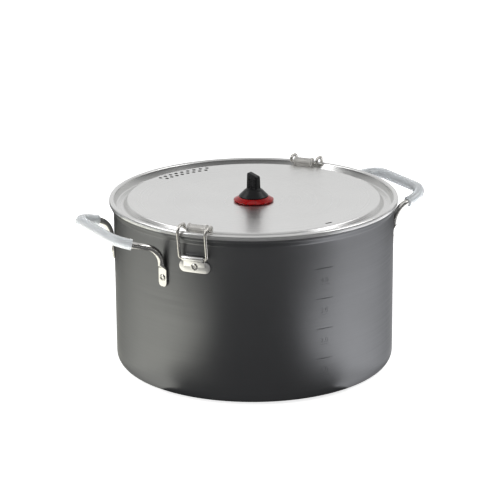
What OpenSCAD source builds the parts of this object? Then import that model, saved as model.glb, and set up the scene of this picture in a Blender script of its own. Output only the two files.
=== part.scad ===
// Locking-lid stock pot: a spun aluminium pot with two wire handles, a strainer lid with a knob,
// and two wire bails that swing over the lid's rim and hold it down.
// Millimetres, +Z up, origin at the middle of the base, +X towards the right handle.

/* [Pot] */
// Inside radius of the pot wall
pot_inner_r = 113.2; // [90:0.1:140]
// Height of the pot's lip above the table
pot_h = 138.8; // [110:0.1:180]
// Thickness of the wall
wall_t = 1.3; // [0.9:0.1:2]
// Thickness of the base
base_t = 1.8; // [1:0.1:3]
// Outside radius of the corner between wall and base
corner_r = 9.5; // [5:0.5:20]
// How far the lip stands out from the wall
lip_flare = 2.2; // [1.6:0.1:4]
// Height of the flared lip
lip_h = 8.3; // [7:0.1:12]
// Thickness of the flared lip
lip_t = 1.1; // [0.8:0.1:1.3]

/* [Volume marks] */
// Height of the lowest line
mark_first_z = 34.2; // [20:0.1:40]
// Volume from one line to the next, in litres
mark_volume = 1; // [0.5:0.5:2]
// Length of each line round the wall
mark_len = 9; // [4:0.5:20]
// Direction that the marks face, in degrees from +X
mark_angle = 272.6; // [250:0.1:290]

/* [Lid] */
// Thickness of the lid's sheet
lid_t = 0.9; // [0.6:0.1:1.2]
// How far the panel's edge lies below the top of the rim
panel_drop = 1.6; // [0.5:0.1:3]
// How far the panel's middle lies below its edge
panel_dish = 3.5; // [0:0.1:6]
// Depth of the sunk channel below the top of the rim
channel_depth = 6.7; // [4:0.1:7]
// Width of the channel's flat floor
channel_w = 4.2; // [3:0.1:8]
// Width of the sloping step from the channel up to the panel's edge
step_w = 4.75; // [3.5:0.05:8]
// Gap between the lid and the pot's lip
lid_gap = 0.35; // [0.3:0.05:1]
// Turn of the lid on the pot, in degrees
lid_turn = 8.5; // [0:0.5:20]
// Radius of a strainer hole
strain_hole_r = 1.6; // [0.8:0.1:2.5]
// Holes in the outer row; the inner row has one less
strain_count = 9; // [3:1:15]
// Spacing of the holes along the outer row
strain_pitch = 6.2; // [5:0.1:9]
// Distance of the outer row from the panel's edge
strain_inset = 4.6; // [4.2:0.1:12]
// Distance between the two rows
strain_row_gap = 4.6; // [4:0.1:8]
// Length of the vent slot
vent_len = 6.5; // [4:0.5:12]
// Width of the vent slot
vent_w = 2.4; // [1:0.1:4]
// Distance of the vent slot from the panel's edge
vent_inset = 8; // [5:0.5:20]

/* [Knob] */
// Radius of the skirt's widest edge
skirt_r = 16.4; // [12:0.1:20]
// Height of the skirt
skirt_h = 3.9; // [2.5:0.1:6]
// Radius where the grip's cone meets the skirt
cone_r = 12; // [9:0.1:15]
// Height of the cone
cone_h = 6.4; // [4:0.1:10]
// Width of the blade
blade_w = 10.4; // [8:0.1:16]
// Thickness of the blade
blade_t = 7; // [6.4:0.1:9]
// Height of the blade's high edge above the cone
blade_h = 13.4; // [8:0.1:20]
// Slope of the blade's top, in degrees
blade_slope = 17; // [0:1:25]
// Turn of the blade, in degrees from +X
blade_turn = -66; // [-90:1:90]
// Radius of the knob screw
screw_r = 2; // [1.5:0.1:2.5]

/* [Handles] */
// Radius of the handle rod
rod_r = 2.6; // [2:0.1:3.5]
// How far the middle of the grip stands out from the pot wall
grip_reach = 28.5; // [26:0.5:50]
// How far each outer corner lies inside its leg's knee, along the grip
corner_inset = 3; // [0:0.1:6]
// Depth of the grip below the pot's lip
grip_drop = 7; // [0:0.1:40]
// Rise of each leg from its knee to the grip
leg_rise = 9.3; // [4:0.1:15]
// Radius of the bend at the knee
knee_bend_r = 16; // [10:0.5:17]
// Radius of the bend at each outer corner
corner_bend_r = 20; // [10:0.5:21]
// Direction of each tab from the handle's middle, in degrees
tab_angle = 22.1; // [15:0.1:28]
// Width of the flattened tab
tab_w = 8.2; // [6:0.1:12]
// Thickness of the flattened tab
tab_t = 1.8; // [1.2:0.1:2.5]
// Depth of the tab's rivet below the pot's lip
tab_rivet_drop = 39.8; // [38:0.1:60]
// Wall of the silicone sleeve
sleeve_t = 1.7; // [1:0.1:3]

/* [Latches] */
// Direction of the back latch, in degrees from +X
latch_angle = 36.5; // [30:0.5:150]
// Radius of the bail wire
wire_r = 1.25; // [0.8:0.05:1.6]
// Thickness of the latch plate
plate_t = 1; // [0.6:0.1:1.5]
// Length of the plate
plate_len = 26.4; // [25:0.1:34]
// Height of the plate
plate_h = 9.4; // [7:0.1:14]
// Length of the plate's rolled knuckle
knuckle_len = 18.4; // [12:0.1:19]
// Wall of the knuckle
knuckle_t = 0.9; // [0.6:0.1:1.2]
// Distance between the bail's two legs
bail_w = 23.4; // [22.5:0.1:30]
// Depth of the hinge below the top of the lid's rim
hinge_drop = 20.8; // [19:0.1:30]
// Radius of the roller's waist
roller_r = 4.2; // [3:0.05:4.4]
// Radius of the roller's flared ends
roller_end_r = 4.7; // [3.2:0.05:4.7]
// Length of the roller
roller_len = 16.2; // [10:0.1:18]

/* [Rivets] */
// Radius of a rivet's shank
rivet_r = 2; // [1.5:0.05:2.2]
// Radius of a rivet's head
rivet_head_r = 2.8; // [2.4:0.05:3.2]
// Thickness of a rivet's head
rivet_head_t = 0.8; // [0.5:0.1:1.2]

/* [Hidden] */
$fn = 96;
eps = 0.01;
// Clearances
press_gap = 0.02;   // rivet shanks and the insert in their holes
sleeve_gap = 0.06;  // the sleeve round its rod
run_gap = 0.05;     // the wire in the knuckle
roller_gap = 0.07;  // the wire in the roller
rod_gap = 0.3;      // the rod off the pot wall
bend_steps = 6;     // straight steps in each small bend of a sheet profile

pot_r = pot_inner_r + wall_t;
lip_r = pot_r + lip_flare;
lip_inner_r = lip_r - lip_t;
// The lid's rim hooks over the lip, so its radius and height follow from the pot
rim_r = lip_r + lid_gap + lid_t;
rim_z = pot_h + lid_gap + lid_t;
rim_skirt = 3.6;
rim_in_r = lip_inner_r - lid_gap - lid_t;
rim_w = rim_r - rim_in_r;
channel_z = rim_z - channel_depth;
channel_out_r = pot_inner_r - lid_gap - lid_t;
channel_in_r = channel_out_r - channel_w;
panel_r = channel_in_r - step_w;
panel_z = rim_z - panel_drop;
seat_z = panel_z - panel_dish;
seat_r = skirt_r + 1.2;
front_angle = latch_angle + 180;
knob_z = seat_z;

// Points of an arc about c, from angle a to angle b
function arc(c, r, a, b, n = bend_steps) =
    [for (i = [0 : n]) c + r * [cos(a + (b - a) * i / n), sin(a + (b - a) * i / n)]];
function unit(v) = v / norm(v);
function left_of(v) = [-v.y, v.x];
function reversed(p) = [for (i = [len(p) - 1 : -1 : 0]) p[i]];
// Direction of the offset at each point of an open path, long enough to keep the sheet's thickness
function miter(p, i) =
    let (a = i > 0 ? unit(p[i] - p[i - 1]) : unit(p[1] - p[0]))
    let (b = i < len(p) - 1 ? unit(p[i + 1] - p[i]) : a)
    let (m = unit(left_of(a) + left_of(b)))
    m / (m * left_of(a));
function beside(p, t) = [for (i = [0 : len(p) - 1]) p[i] + t * miter(p, i)];

// ---- rods and wires: straight lengths and true bends along a list of corners ----
// Each bend is a hair fatter than the straights, which reach a little way into it
bend_swell = 0.02;
bend_lap = 0.1;
function turn_at(p, i) = acos(unit(p[i] - p[i - 1]) * unit(p[i + 1] - p[i]));
function tangent_len(p, radii, i) =
    i == 0 || i == len(p) - 1 ? 0 : radii[i] * tan(turn_at(p, i) / 2);

// A round section, hollow if it has a bore; a bend's wall is thicker by its swell on both sides
module section(r, bore, swell = 0)
    difference() {
        circle(r + swell);
        if (bore > 0) circle(bore - swell);
    }

module rod_bend(p, radii, i, r, bore) {
    d1 = unit(p[i] - p[i - 1]);
    d2 = unit(p[i + 1] - p[i]);
    inward = unit(d2 - (d1 * d2) * d1);
    c = p[i] - d1 * tangent_len(p, radii, i) + inward * radii[i];
    ex = -inward;
    ez = cross(ex, d1);
    multmatrix([[ex.x, d1.x, ez.x, c.x], [ex.y, d1.y, ez.y, c.y], [ex.z, d1.z, ez.z, c.z], [0, 0, 0, 1]])
        rotate_extrude(angle = turn_at(p, i)) translate([radii[i], 0]) section(r, bore, bend_swell);
}

module rod_run(a, b, r, bore) {
    v = b - a;
    translate(a) rotate([0, acos(v.z / norm(v)), atan2(v.y, v.x)]) linear_extrude(norm(v)) section(r, bore);
}

module bent_rod(p, radii, r, bore = 0) {
    last = len(p) - 2;
    for (i = [0 : last]) {
        d = unit(p[i + 1] - p[i]);
        from = tangent_len(p, radii, i) - (i > 0 ? bend_lap : 0);
        to = tangent_len(p, radii, i + 1) - (i < last ? bend_lap : 0);
        rod_run(p[i] + d * from, p[i + 1] - d * to, r, bore);
    }
    for (i = [1 : last]) rod_bend(p, radii, i, r, bore);
}

// ---- pot ----
tab_rivet_z = pot_h - tab_rivet_drop;

// A radial hole through the wall at height z and direction a
module wall_hole(a, z, r)
    rotate([0, 0, a]) translate([pot_inner_r - 5, 0, z]) rotate([0, 90, 0]) cylinder(h = 10, r = r);

// A height below which the lip has swept back to the plain wall
lip_foot_z = pot_h - lip_h;
lip_sweep = 3.4;

pot_outline = concat(
    [[0, 0]],
    arc([pot_r - corner_r, corner_r], corner_r, -90, 0, 8),
    [[pot_r, lip_foot_z], [pot_r + lip_flare * 0.25, lip_foot_z + lip_sweep * 0.3],
     [lip_r - lip_flare * 0.2, lip_foot_z + lip_sweep * 0.7], [lip_r, lip_foot_z + lip_sweep]],
    arc([lip_r - lip_t / 2, pot_h - lip_t / 2], lip_t / 2, 0, 180),
    [[lip_inner_r, lip_foot_z + lip_sweep], [pot_inner_r, lip_foot_z]],
    arc([pot_r - corner_r, base_t + corner_r - wall_t], corner_r - wall_t, 0, -90, 8),
    [[0, base_t]]);

module pot_body() {
    mark_deep = 0.2;
    mark_high = 0.55;
    // As many lines as fit below the lip, evenly spaced because the wall is straight
    mark_step = mark_volume * 1e6 / (PI * pot_inner_r * pot_inner_r);
    mark_count = floor((lip_foot_z - 5 - mark_first_z) / mark_step) + 1;
    color("dimgray") difference() {
        rotate_extrude($fn = 180) polygon(pot_outline);
        for (side = [0, 180], a = [-tab_angle, tab_angle])
            wall_hole(side + a, tab_rivet_z, rivet_r + press_gap);
        for (a = [latch_angle, front_angle]) wall_hole(a, plate_z, rivet_r + press_gap);
        for (i = [0 : mark_count - 1])
            rotate([0, 0, mark_angle]) translate([pot_r - mark_deep, -mark_len / 2, mark_first_z + i * mark_step])
                cube([1, mark_len, mark_high]);
    }
}

// ---- lid ----
// The parabola of the dished panel from the knob's seat to the shoulder
function panel_height(r) = seat_z + panel_dish * pow((r - seat_r) / (panel_r - seat_r), 2);
shoulder_r = 1.6;
foot_r = 1.2;
step_lean = 28;
curl_r = rim_w / 2;

lid_top = concat(
    [[screw_r + 0.3, seat_z]],
    [for (i = [0 : 6]) let (r = seat_r + (panel_r - shoulder_r - seat_r) * i / 6) [r, panel_height(r)]],
    arc([panel_r - shoulder_r, panel_z - shoulder_r], shoulder_r, 84, step_lean),
    arc([channel_in_r, channel_z + foot_r], foot_r, 180 + step_lean, 270),
    arc([channel_out_r - foot_r, channel_z + foot_r], foot_r, -90, -15),
    arc([rim_in_r + curl_r, rim_z - curl_r], curl_r, 165, 0, 10),
    [[rim_r, rim_z - rim_skirt]]);

module lid() {
    strain_row_r = panel_r - strain_inset;
    inner_row_r = strain_row_r - strain_row_gap;
    step_a = strain_pitch / strain_row_r * 180 / PI;
    vent_r = panel_r - vent_inset;
    color("lightgray") rotate([0, 0, lid_turn]) difference() {
        rotate_extrude($fn = 180) polygon(concat(lid_top, reversed(beside(lid_top, -lid_t))));
        for (i = [0 : strain_count - 1])
            rotate([0, 0, 90 + (i - (strain_count - 1) / 2) * step_a])
                translate([strain_row_r, 0, seat_z - 2]) cylinder(h = panel_dish + 6, r = strain_hole_r);
        for (i = [0 : strain_count - 2])
            rotate([0, 0, 90 + (i - (strain_count - 2) / 2) * step_a])
                translate([inner_row_r, 0, seat_z - 2]) cylinder(h = panel_dish + 6, r = strain_hole_r);
        for (y = [-1, 1]) rotate([0, 0, 270])
            translate([vent_r, y * (vent_len - vent_w) / 2, seat_z - 2])
                cylinder(h = panel_dish + 6, d = vent_w);
        rotate([0, 0, 270]) translate([vent_r - vent_w / 2, -(vent_len - vent_w) / 2, seat_z - 2])
            cube([vent_w, vent_len - vent_w, panel_dish + 6]);
    }
}

// ---- knob ----
insert_r = screw_r + 1.1;
insert_h = 8;
insert_z = knob_z + skirt_h + 0.5;
skirt_foot_r = skirt_r - 1.6;
blade_corner_r = 1.4;

// The skirt's ring flares from the cone down to its widest edge, then turns in to its seat
module knob_skirt() {
    seat_gap = 0.05;
    edge_h = 0.9;
    top = skirt_h - seat_gap - press_gap;
    color("red") translate([0, 0, knob_z + seat_gap]) rotate_extrude()
        polygon([[screw_r + 0.3, 0], [skirt_foot_r, 0], [skirt_r, edge_h], [skirt_r, edge_h + 0.5],
                 [cone_r, top], [screw_r + 0.3, top]]);
}

module blade_outline() {
    x = blade_w / 2 - blade_corner_r;
    y = blade_t / 2 - blade_corner_r;
    for (i = [-1, 1], j = [-1, 1]) translate([i * x, j * y]) circle(blade_corner_r);
    square([blade_w, 2 * y], center = true);
    square([2 * x, blade_t], center = true);
}

module knob_grip() {
    top_z = knob_z + skirt_h + cone_h;
    cone_top_r = blade_w / 2 + 0.9;
    lip = 0.6;
    color([0.11, 0.11, 0.12]) rotate([0, 0, blade_turn]) difference() {
        union() {
            translate([0, 0, knob_z + skirt_h]) cylinder(h = lip, r = cone_r);
            translate([0, 0, knob_z + skirt_h + lip]) cylinder(h = cone_h - lip, r1 = cone_r, r2 = cone_top_r);
            translate([0, 0, top_z - 2]) linear_extrude(blade_h + 2) blade_outline();
        }
        translate([-blade_w / 2, 0, top_z + blade_h]) rotate([0, blade_slope, 0])
            translate([-blade_w, -blade_w, 0]) cube([4 * blade_w, 2 * blade_w, blade_w]);
        translate([0, 0, insert_z]) cylinder(h = insert_h + 1, r = insert_r + press_gap);
        translate([0, 0, knob_z]) cylinder(h = skirt_h + 1, r = screw_r + 0.3);
    }
}

module knob_insert()
    color("goldenrod") translate([0, 0, insert_z + eps]) difference() {
        cylinder(h = insert_h, r = insert_r);
        translate([0, 0, -1]) cylinder(h = insert_h + 2, r = screw_r + run_gap);
    }

washer_t = 0.8;
washer_z = seat_z - lid_t - washer_t - 0.05;

module knob_washer()
    color("silver") translate([0, 0, washer_z]) difference() {
        cylinder(h = washer_t, r = 2.5 * screw_r);
        translate([0, 0, -1]) cylinder(h = washer_t + 2, r = screw_r + 0.2);
    }

module knob_screw() {
    head_r = 1.9 * screw_r;
    head_h = 2.2;
    slot_w = 1;
    color("silver") difference() {
        union() {
            translate([0, 0, washer_z - head_h]) cylinder(h = head_h, r = head_r);
            translate([0, 0, washer_z - eps]) cylinder(h = insert_z + insert_h - 0.6 - washer_z, r = screw_r);
        }
        translate([0, 0, washer_z - head_h + 0.5])
            cube([2 * head_r + 2, slot_w, 2 * 0.5 + eps], center = true);
    }
}

// ---- handles ----
grip_x = pot_r + grip_reach;
grip_z = pot_h - grip_drop;
rod_wall_r = pot_r + rod_gap + rod_r;
knee = [rod_wall_r * cos(tab_angle), rod_wall_r * sin(tab_angle), grip_z - leg_rise];
grip_corner = [grip_x, knee.y - corner_inset, grip_z];
knee_turn = 90 - atan2(leg_rise, norm([grip_x - knee.x, corner_inset]));
rod_foot_z = knee.z - knee_bend_r * tan(knee_turn / 2) - 0.4;
tab_h = 12.4;
tab_bottom_z = tab_rivet_z - tab_h * 0.62;
tab_top_z = rod_foot_z - 4.6;

function flip_y(p) = [p.x, -p.y, p.z];
rod_foot = [knee.x, knee.y, rod_foot_z];
handle_path = [rod_foot, knee, grip_corner, flip_y(grip_corner), flip_y(knee), flip_y(rod_foot)];
handle_radii = [0, knee_bend_r, corner_bend_r, corner_bend_r, knee_bend_r, 0];
// The sleeve starts part of the way up each leg
sleeve_from = 0.4;
sleeve_foot = knee + (grip_corner - knee) * sleeve_from;
sleeve_path = [sleeve_foot, grip_corner, flip_y(grip_corner), flip_y(sleeve_foot)];
sleeve_radii = [0, corner_bend_r, corner_bend_r, 0];

// A strip of the wall's own curve, from radius r to r + t, behind the outline drawn in Y and Z
module wall_strip(r, t) {
    intersection() {
        difference() {
            cylinder(h = pot_h, r = r + t, $fn = 180);
            translate([0, 0, -1]) cylinder(h = pot_h + 2, r = r, $fn = 180);
        }
        translate([r - 6, 0, 0]) rotate([90, 0, 90]) linear_extrude(12) children();
    }
}

module tab()
    difference() {
        wall_strip(pot_r, tab_t) {
            translate([0, tab_bottom_z + tab_w / 2]) circle(d = tab_w);
            translate([-tab_w / 2, tab_bottom_z + tab_w / 2])
                square([tab_w, tab_top_z - tab_bottom_z - tab_w / 2]);
        }
        wall_hole(0, tab_rivet_z, rivet_r + press_gap);
    }

// The drawn-down length where the round rod turns into the flat tab, cut by its two side views
module tab_neck() {
    low = tab_top_z - 0.3;
    high = rod_foot_z + bend_lap;
    end_half = rod_r * 0.75;
    intersection() {
        translate([0, tab_w / 2, 0]) rotate([90, 0, 0]) linear_extrude(tab_w)
            polygon([[pot_r + 0.05, low], [pot_r + tab_t - 0.05, low],
                     [rod_wall_r + end_half, high], [rod_wall_r - end_half, high]]);
        translate([pot_r, 0, 0]) rotate([90, 0, 90]) linear_extrude(rod_gap + 2 * rod_r)
            polygon([[-tab_w / 2 + 0.1, low], [tab_w / 2 - 0.1, low], [end_half, high], [-end_half, high]]);
    }
}

module handle_rod()
    color("gainsboro") {
        bent_rod(handle_path, handle_radii, rod_r);
        for (s = [-1, 1]) rotate([0, 0, s * tab_angle]) {
            tab();
            tab_neck();
        }
    }

module handle_sleeve()
    color([0.86, 0.89, 0.9]) bent_rod(sleeve_path, sleeve_radii, rod_r + sleeve_t, rod_r + sleeve_gap);

// ---- rivets: a hollow head outside, a shank through the wall and a turned-over end inside ----
module wall_rivet(outer_r, z)
    translate([0, 0, z]) rotate([0, 90, 0]) difference() {
        union() {
            translate([0, 0, pot_inner_r - 0.1 - rivet_head_t]) cylinder(h = rivet_head_t, r = rivet_head_r);
            translate([0, 0, pot_inner_r - 0.2]) cylinder(h = outer_r - pot_inner_r + 0.3, r = rivet_r);
            translate([0, 0, outer_r]) cylinder(h = rivet_head_t * 0.5, r = rivet_head_r);
            translate([0, 0, outer_r + rivet_head_t * 0.5])
                cylinder(h = rivet_head_t * 0.5, r1 = rivet_head_r, r2 = rivet_head_r * 0.8);
        }
        translate([0, 0, outer_r - 0.6]) cylinder(h = 3, r = rivet_r * 0.6);
    }

module handle_rivets()
    color("silver") for (s = [-1, 1]) rotate([0, 0, s * tab_angle])
        wall_rivet(pot_r + tab_t, tab_rivet_z);

module right_side() children();
module left_side() rotate([0, 0, 180]) children();

// ---- latches, drawn with the radius along +X and turned into place ----
knuckle_r = wire_r + run_gap + knuckle_t;
hinge_r = pot_r + 0.5 + knuckle_r;
hinge_z = rim_z - hinge_drop;
plate_z = hinge_z - knuckle_r - 0.3 - plate_h / 2;
rim_clear = 0.6;
leg_y = bail_w / 2;
// The rim's reach beside each leg, and the leg's place outside it
rim_at_leg = sqrt(rim_r * rim_r - leg_y * leg_y);
arch_x = rim_at_leg + wire_r + rim_clear + 1.2;
// The roller seats on the panel's shoulder, inside the rim
roller_x = panel_r + 5;
roller_z = rim_z + 0.1;
// The wire's bends, none tighter than the wire can take
knuckle_bend_r = 1.52 * wire_r;
end_bend_r = 1.2 * wire_r;
inner_bend_r = 1.7 * wire_r;
outer_bend_r = 3.7 * wire_r;
arch_z = roller_z + end_bend_r + inner_bend_r + 0.5;
wire_joint = 0.6;

function bail_half(s) = [
    [roller_x, s * wire_joint / 2, roller_z], [roller_x, s * leg_y, roller_z], [roller_x, s * leg_y, arch_z],
    [arch_x, s * leg_y, arch_z], [hinge_r, s * leg_y, hinge_z]];
bail_path = concat(bail_half(1), reversed(bail_half(-1)));
bail_radii = [0, end_bend_r, inner_bend_r, outer_bend_r, knuckle_bend_r,
              knuckle_bend_r, outer_bend_r, inner_bend_r, end_bend_r, 0];

module latch_bail() color("silver") bent_rod(bail_path, bail_radii, wire_r);

module latch_roller() {
    end_w = 1.6;
    half = roller_len / 2;
    bore = wire_r + roller_gap;
    color([0.88, 0.89, 0.88]) translate([roller_x, 0, roller_z]) rotate([90, 0, 0]) rotate_extrude()
        polygon([[bore, -half], [roller_end_r, -half], [roller_end_r, -half + end_w * 0.6],
                 [roller_r, -half + end_w * 1.6], [roller_r, half - end_w * 1.6],
                 [roller_end_r, half - end_w * 0.6], [roller_end_r, half], [bore, half]]);
}

module latch_plate() {
    end_r = plate_h / 2;
    color("gainsboro") difference() {
        union() {
            wall_strip(pot_r, plate_t) {
                for (s = [-1, 1]) translate([s * (plate_len / 2 - end_r), plate_z]) circle(end_r);
                translate([-plate_len / 2 + end_r, plate_z - end_r]) square([plate_len - 2 * end_r, plate_h]);
                translate([-knuckle_len / 2, plate_z]) square([knuckle_len, hinge_z - plate_z]);
            }
            translate([hinge_r, knuckle_len / 2, hinge_z]) rotate([90, 0, 0])
                cylinder(h = knuckle_len, r = knuckle_r);
        }
        translate([hinge_r, knuckle_len / 2 + 1, hinge_z]) rotate([90, 0, 0])
            cylinder(h = knuckle_len + 2, r = wire_r + run_gap);
        wall_hole(0, plate_z, rivet_r + press_gap);
    }
}

module latch_rivet() color("silver") wall_rivet(pot_r + plate_t, plate_z);

module at_front() rotate([0, 0, front_angle]) children();
module at_back() rotate([0, 0, latch_angle]) children();

pot_body();
lid();
knob_grip();
knob_skirt();
knob_insert();
knob_screw();
knob_washer();
left_side() handle_rod();  // left_handle_rod
right_side() handle_rod();  // right_handle_rod
left_side() handle_sleeve();  // left_handle_sleeve
right_side() handle_sleeve();  // right_handle_sleeve
left_side() handle_rivets();  // left_handle_rivets
right_side() handle_rivets();  // right_handle_rivets
at_front() latch_plate();  // front_latch_plate
at_back() latch_plate();  // back_latch_plate
at_front() latch_rivet();  // front_latch_rivet
at_back() latch_rivet();  // back_latch_rivet
at_front() latch_bail();  // front_latch_bail
at_back() latch_bail();  // back_latch_bail
at_front() latch_roller();  // front_latch_roller
at_back() latch_roller();  // back_latch_roller
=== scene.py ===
import math
import bpy
from mathutils import Matrix, Vector


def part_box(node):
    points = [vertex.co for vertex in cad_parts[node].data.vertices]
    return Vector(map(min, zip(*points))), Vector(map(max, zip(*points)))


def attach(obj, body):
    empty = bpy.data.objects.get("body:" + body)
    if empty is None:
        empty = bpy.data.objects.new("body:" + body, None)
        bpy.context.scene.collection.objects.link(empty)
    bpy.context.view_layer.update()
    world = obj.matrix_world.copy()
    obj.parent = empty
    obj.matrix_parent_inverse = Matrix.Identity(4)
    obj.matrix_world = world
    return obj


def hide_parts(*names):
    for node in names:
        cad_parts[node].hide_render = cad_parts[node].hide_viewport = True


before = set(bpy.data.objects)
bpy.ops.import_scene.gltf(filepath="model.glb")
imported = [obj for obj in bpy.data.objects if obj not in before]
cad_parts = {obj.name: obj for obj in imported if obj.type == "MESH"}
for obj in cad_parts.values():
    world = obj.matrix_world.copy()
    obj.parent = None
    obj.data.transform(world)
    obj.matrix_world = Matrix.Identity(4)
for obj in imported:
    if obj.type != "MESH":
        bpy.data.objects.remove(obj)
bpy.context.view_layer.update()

# ---- camera ----
# A long lens a little above the rim, with the right handle behind and the left one in front.
# It is swung up and to the left, so that the pot stands a little low and right of the middle.
MM = 0.001
AIM = Vector((0, 0, 71.8 * MM))
CAMERA_TURN = math.radians(-119.8)
CAMERA_RISE = math.radians(18.0)
CAMERA_FAR = 1847 * MM
PICTURE = 500
LENS = 2235.5
POT_RIGHT, POT_DOWN = 3.95, 23.97
LEAN = math.radians(-0.347)

camera_data = bpy.data.cameras.new("camera")
camera_data.sensor_width = 36
camera_data.lens = LENS * camera_data.sensor_width / PICTURE
camera_data.clip_start = 0.05
camera = bpy.data.objects.new("camera", camera_data)
bpy.context.scene.collection.objects.link(camera)
away = Vector((math.cos(CAMERA_RISE) * math.cos(CAMERA_TURN),
               math.cos(CAMERA_RISE) * math.sin(CAMERA_TURN), math.sin(CAMERA_RISE)))
look = (-away).to_track_quat("-Z", "Y").to_matrix()
tilt_up = Matrix.Rotation(math.atan(POT_DOWN / LENS), 3, "X")
pan_left = Matrix.Rotation(math.atan(POT_RIGHT / LENS), 3, "Y")
lean = Matrix.Rotation(LEAN, 3, "Z")
camera.matrix_world = (Matrix.Translation(AIM + away * CAMERA_FAR)
                       @ (look @ tilt_up @ pan_left @ lean).to_4x4())
bpy.context.scene.camera = camera

# ---- floor ----
# A white paper table top that is lit from below as well, so that the pot's shadow is only a thin
# soft line at its foot.
def srgb(code):
    """A hex colour as the linear numbers that a shader takes."""
    parts = [int(code[i:i + 2], 16) / 255 for i in (1, 3, 5)]
    return tuple(p / 12.92 if p <= 0.04045 else ((p + 0.055) / 1.055) ** 2.4 for p in parts) + (1.0,)


def add_node(material, kind, settings=None, **links):
    """A node with its settings, and a link into each socket named (a space as _, a number as _0)."""
    node = material.node_tree.nodes.new(kind)
    for name, value in (settings or {}).items():
        if name in node.inputs.keys():
            node.inputs[name].default_value = value
        else:
            setattr(node, name, value)
    for name, source in links.items():
        numbered = name[1:].isdigit()
        socket = node.inputs[int(name[1:])] if numbered else node.inputs[name.replace("_", " ")]
        material.node_tree.links.new(source, socket)
    return node


def new_material(name):
    """A material with only its output, and that output node."""
    material = bpy.data.materials.new(name)
    material.use_nodes = True
    material.node_tree.nodes.clear()
    return material, add_node(material, "ShaderNodeOutputMaterial")


def wear(piece, material):
    """The piece, or CAD node, wears this material all over."""
    piece.data.materials.clear()
    piece.data.materials.append(material)


def clear_selection():
    if bpy.context.object and bpy.context.object.mode != "OBJECT":
        bpy.ops.object.mode_set(mode="OBJECT")
    bpy.ops.object.select_all(action="DESELECT")


white_paper, out = new_material("white_paper")
paper = add_node(white_paper, "ShaderNodeBsdfPrincipled",
                 {"Base Color": srgb("#F2F2F2"), "Roughness": 0.9, "Specular IOR Level": 0.2,
                  "Emission Color": srgb("#FFFFFF"), "Emission Strength": 0.8})
white_paper.node_tree.links.new(paper.outputs[0], out.inputs["Surface"])

clear_selection()
bpy.ops.mesh.primitive_plane_add(size=8, location=(0, 0, -0.2 * MM))
floor = bpy.context.object
floor.name = "floor"
bpy.ops.object.transform_apply(location=True, rotation=True, scale=True)
wear(floor, white_paper)

# A grey card lies over the table, seen in reflections only: it glows a fixed grey though it is no lamp, a
# painted reflection that keeps the metal from being lit white from below
painted_reflection_material, out = new_material("painted_reflection_card")
# Painted reflection: the card's face is an emission of fixed grey, not a lit surface
painted_reflection_glow = add_node(painted_reflection_material, "ShaderNodeEmission", {"Color": srgb("#6A6A6B")})
painted_reflection_material.node_tree.links.new(painted_reflection_glow.outputs[0], out.inputs["Surface"])
clear_selection()
bpy.ops.mesh.primitive_circle_add(vertices=64, radius=1.6, fill_type="NGON", location=(0, 0, 0.2 * MM))
card = bpy.context.object
card.name = "card"
bpy.ops.object.transform_apply(location=True, rotation=True, scale=True)
wear(card, painted_reflection_material)
# Hidden from the camera, diffuse light, transmission and shadow, so it shows only as a painted reflection in
# glossy surfaces
card.visible_camera = card.visible_diffuse = card.visible_transmission = card.visible_shadow = False

# ---- lights ----
# Panels lie on the table on either side and shine up the wall's flanks. Soft boxes hang left, right,
# in front and overhead. The room is pale behind the pot and dark behind the camera.
front = Vector((math.cos(CAMERA_TURN), math.sin(CAMERA_TURN), 0.0))
room = bpy.data.worlds.new("studio")
room.use_nodes = True
sky = room.node_tree.nodes["Background"]
sky.inputs["Color"].default_value = (1, 1, 1, 1)
where = room.node_tree.nodes.new("ShaderNodeTexCoord")
toward = room.node_tree.nodes.new("ShaderNodeVectorMath")
toward.operation = "DOT_PRODUCT"
toward.inputs[1].default_value = front
fade = room.node_tree.nodes.new("ShaderNodeMapRange")
fade.interpolation_type = "SMOOTHSTEP"
for name, value in (("From Min", -0.9), ("From Max", -0.1), ("To Min", 0.90), ("To Max", 0.11)):
    fade.inputs[name].default_value = value
room.node_tree.links.new(where.outputs["Generated"], toward.inputs[0])
room.node_tree.links.new(toward.outputs["Value"], fade.inputs["Value"])
room.node_tree.links.new(fade.outputs["Result"], sky.inputs["Strength"])
bpy.context.scene.world = room
bpy.context.scene.view_settings.view_transform = "Standard"


def soft_box(name, spot, aim, wide, high, power, tint):
    """An area light hidden from the camera; spot and aim are (right, back, up) from the pot, in metres."""
    data = bpy.data.lights.new(name, "AREA")
    data.shape = "RECTANGLE"
    data.size, data.size_y, data.energy, data.color = wide, high, power, srgb(tint)[:3]
    lamp = bpy.data.objects.new(name, data)
    bpy.context.scene.collection.objects.link(lamp)
    studio = Matrix.Rotation(CAMERA_TURN + math.pi / 2, 3, "Z")
    facing = (Vector(aim) - Vector(spot)).to_track_quat("-Z", "Y").to_matrix()
    lamp.matrix_world = Matrix.Translation(studio @ Vector(spot)) @ (studio @ facing).to_4x4()
    lamp.visible_camera = False


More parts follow.
